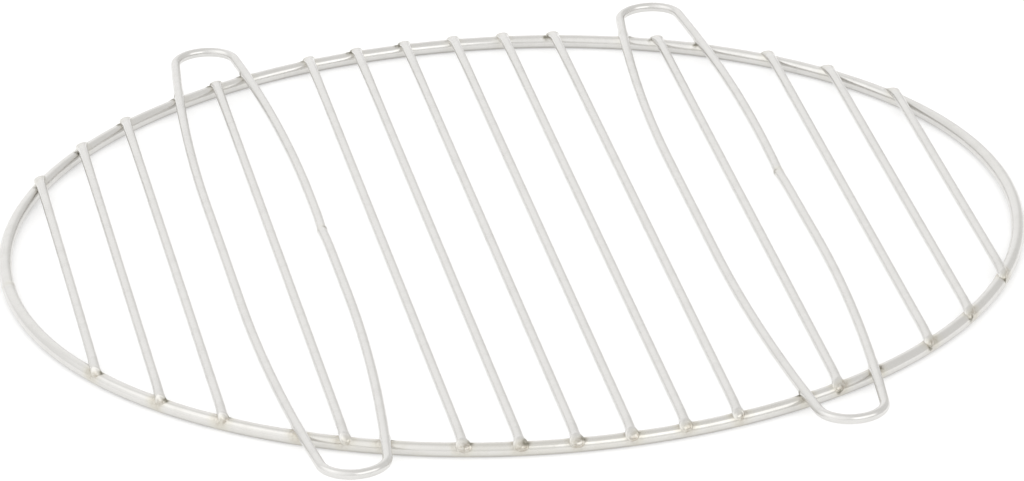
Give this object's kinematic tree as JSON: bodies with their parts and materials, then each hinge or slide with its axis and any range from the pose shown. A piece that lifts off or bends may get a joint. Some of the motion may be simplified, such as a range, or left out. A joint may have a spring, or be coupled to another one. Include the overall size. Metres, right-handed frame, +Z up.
{
  "type": "round fire pit grill grate",
  "caption": "Round grill grate of welded plated steel wire: parallel rods on a thick round rim, with long wire loops that stand past the rim as lifting handles, for cooking over a fire pit.",
  "frame": {"origin": "centre of the rim, on the surface that the underside of the rim stands on", "axes": "+Z up, out of the cooking side; +Y along the rods towards the back; +X across the rods to the right"},
  "size_m": [0.3699, 0.3896, 0.0076],
  "materials": {
    "plated_wire": "satin plated steel wire with bright highlights and faint drawing lines"
  },
  "bodies": {
    "root": {"rim_ring": "plated_wire", "cross_rod_01": "plated_wire", "cross_rod_02": "plated_wire", "cross_rod_03": "plated_wire", "cross_rod_04": "plated_wire", "cross_rod_05": "plated_wire", "cross_rod_06": "plated_wire", "cross_rod_07": "plated_wire", "cross_rod_08": "plated_wire", "cross_rod_09": "plated_wire", "cross_rod_10": "plated_wire", "cross_rod_11": "plated_wire", "cross_rod_12": "plated_wire", "cross_rod_13": "plated_wire", "cross_rod_14": "plated_wire", "handle_loop_left": "plated_wire", "handle_loop_right": "plated_wire"}
  },
  "joints": []
}
